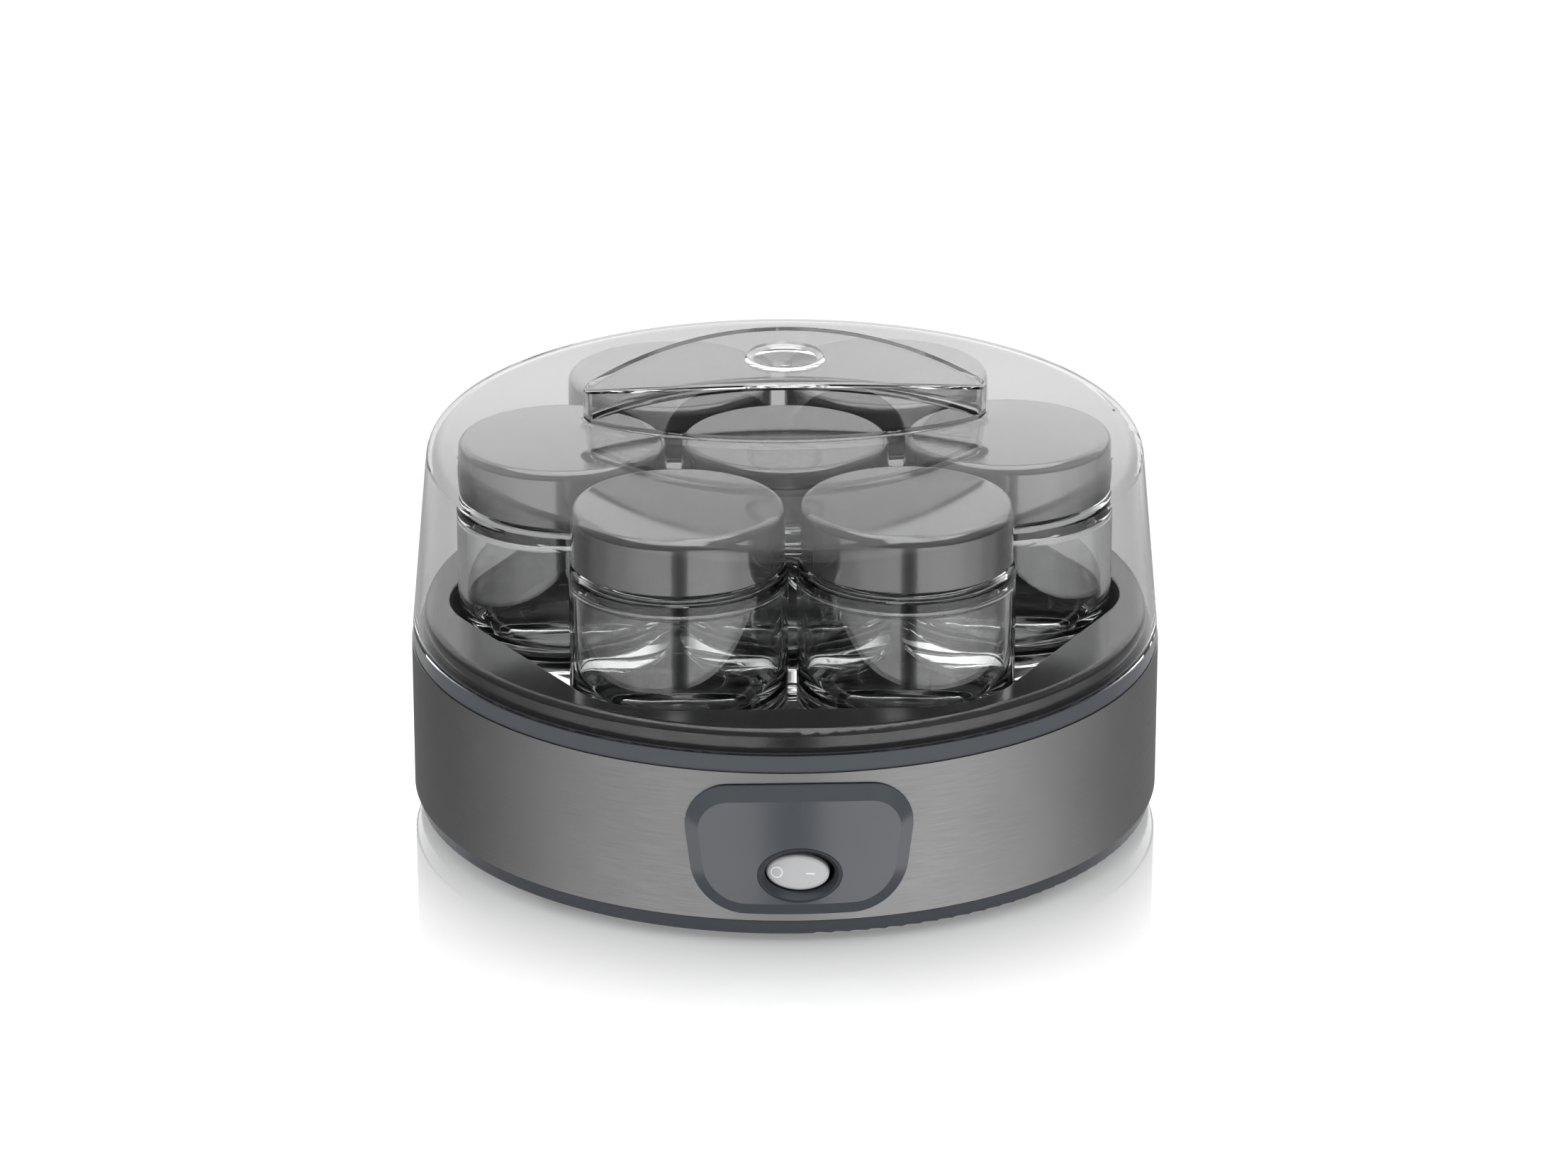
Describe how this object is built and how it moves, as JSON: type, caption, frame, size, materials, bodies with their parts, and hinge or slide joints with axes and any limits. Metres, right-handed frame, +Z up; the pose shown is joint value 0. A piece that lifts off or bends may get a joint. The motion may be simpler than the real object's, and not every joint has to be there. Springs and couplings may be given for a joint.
{
  "type": "yogurt maker",
  "caption": "Round electric yogurt maker: heated base with a metal band and rocker switch, glass jars with twist lids in a well, and a clear lift-off cover with a hollow handle.",
  "frame": {"origin": "centre of the base on the table, under the feet", "axes": "+Z up, control panel and switch towards -Y, mains inlet towards +Y"},
  "size_m": [0.235, 0.2402, 0.1482],
  "materials": {
    "housing_plastic": "blue-grey moulded plastic, semi-gloss",
    "well_plastic": "dark blue-grey moulded plastic, satin",
    "band_steel": "dark brushed stainless sheet, grain round the band",
    "bezel_plastic": "dark blue-grey, satin",
    "rocker_plastic": "light grey, satin",
    "switch_plastic": "black moulded",
    "clear_cover": "clear smoky plastic, polished",
    "jar_glass": "clear polished glass",
    "lid_plastic": "dark grey, glossy",
    "foot_rubber": "black matt",
    "bush_rubber": "black matt",
    "screw_steel": "zinc plated",
    "contact_brass": "bare",
    "plate_aluminium": "rolled sheet",
    "mat_silicone": "red silicone",
    "thermostat_body": "black phenolic",
    "fuse_body": "plain",
    "wire_brown": "insulation",
    "wire_blue": "insulation"
  },
  "bodies": {
    "base": {"base_housing": "housing_plastic", "bottom_cover": "housing_plastic", "control_panel": "housing_plastic", "jar_well": "well_plastic", "metal_band": "band_steel", "switch_bezel": "bezel_plastic", "switch_body": "switch_plastic", "terminal_block": "switch_plastic", "foot_rear_right": "foot_rubber", "foot_rear_left": "foot_rubber", "foot_front_left": "foot_rubber", "foot_front_right": "foot_rubber", "inlet_bush": "bush_rubber", "bottom_screws": "screw_steel", "plate_retainers": "screw_steel", "fuse_clip": "screw_steel", "switch_terminals": "contact_brass", "terminal_screws": "contact_brass", "heater_plate": "plate_aluminium", "heater_mat": "mat_silicone", "thermostat": "thermostat_body", "thermal_fuse": "fuse_body", "wire_mains_to_switch": "wire_brown", "wire_switch_to_thermostat": "wire_brown", "wire_thermostat_to_fuse": "wire_brown", "wire_fuse_to_heater": "wire_brown", "wire_heater_to_mains": "wire_blue"},
    "cover": {"dome_cover": "clear_cover"},
    "rocker": {"switch_rocker": "rocker_plastic"},
    "jar_centre": {"jar_centre": "jar_glass"},
    "lid_centre": {"lid_centre": "lid_plastic"},
    "jar_right": {"jar_right": "jar_glass"},
    "lid_right": {"lid_right": "lid_plastic"},
    "jar_rear_right": {"jar_rear_right": "jar_glass"},
    "lid_rear_right": {"lid_rear_right": "lid_plastic"},
    "jar_rear_left": {"jar_rear_left": "jar_glass"},
    "lid_rear_left": {"lid_rear_left": "lid_plastic"},
    "jar_left": {"jar_left": "jar_glass"},
    "lid_left": {"lid_left": "lid_plastic"},
    "jar_front_left": {"jar_front_left": "jar_glass"},
    "lid_front_left": {"lid_front_left": "lid_plastic"},
    "jar_front_right": {"jar_front_right": "jar_glass"},
    "lid_front_right": {"lid_front_right": "lid_plastic"}
  },
  "joints": [
    {"name": "cover_lift", "type": "slide", "parent": "base", "child": "cover", "axis": [0, 0, 1], "range_m": [0, 0.1]},
    {"name": "rocker_tilt", "type": "hinge", "parent": "base", "child": "rocker", "pos_m": [0, -0.1131, 0.02445], "axis": [0, 0, 1], "range_deg": [0, 17]},
    {"name": "jar_centre_turn", "type": "hinge", "parent": "base", "child": "jar_centre", "pos_m": [0, 0, 0.044], "axis": [0, 0, 1], "continuous": true},
    {"name": "lid_centre_twist", "type": "hinge", "parent": "jar_centre", "child": "lid_centre", "pos_m": [0, 0, 0.044], "axis": [0, 0, 1], "range_deg": [0, 45]},
    {"name": "jar_right_turn", "type": "hinge", "parent": "base", "child": "jar_right", "pos_m": [0.0693, 0, 0.044], "axis": [0, 0, 1], "continuous": true},
    {"name": "lid_right_twist", "type": "hinge", "parent": "jar_right", "child": "lid_right", "pos_m": [0.0693, 0, 0.044], "axis": [0, 0, 1], "range_deg": [0, 45]},
    {"name": "jar_rear_right_turn", "type": "hinge", "parent": "base", "child": "jar_rear_right", "pos_m": [0.03465, 0.06002, 0.044], "axis": [0, 0, 1], "continuous": true},
    {"name": "lid_rear_right_twist", "type": "hinge", "parent": "jar_rear_right", "child": "lid_rear_right", "pos_m": [0.03465, 0.06002, 0.044], "axis": [0, 0, 1], "range_deg": [0, 45]},
    {"name": "jar_rear_left_turn", "type": "hinge", "parent": "base", "child": "jar_rear_left", "pos_m": [-0.03465, 0.06002, 0.044], "axis": [0, 0, 1], "continuous": true},
    {"name": "lid_rear_left_twist", "type": "hinge", "parent": "jar_rear_left", "child": "lid_rear_left", "pos_m": [-0.03465, 0.06002, 0.044], "axis": [0, 0, 1], "range_deg": [0, 45]},
    {"name": "jar_left_turn", "type": "hinge", "parent": "base", "child": "jar_left", "pos_m": [-0.0693, 0, 0.044], "axis": [0, 0, 1], "continuous": true},
    {"name": "lid_left_twist", "type": "hinge", "parent": "jar_left", "child": "lid_left", "pos_m": [-0.0693, 0, 0.044], "axis": [0, 0, 1], "range_deg": [0, 45]},
    {"name": "jar_front_left_turn", "type": "hinge", "parent": "base", "child": "jar_front_left", "pos_m": [-0.03465, -0.06002, 0.044], "axis": [0, 0, 1], "continuous": true},
    {"name": "lid_front_left_twist", "type": "hinge", "parent": "jar_front_left", "child": "lid_front_left", "pos_m": [-0.03465, -0.06002, 0.044], "axis": [0, 0, 1], "range_deg": [0, 45]},
    {"name": "jar_front_right_turn", "type": "hinge", "parent": "base", "child": "jar_front_right", "pos_m": [0.03465, -0.06002, 0.044], "axis": [0, 0, 1], "continuous": true},
    {"name": "lid_front_right_twist", "type": "hinge", "parent": "jar_front_right", "child": "lid_front_right", "pos_m": [0.03465, -0.06002, 0.044], "axis": [0, 0, 1], "range_deg": [0, 45]}
  ]
}
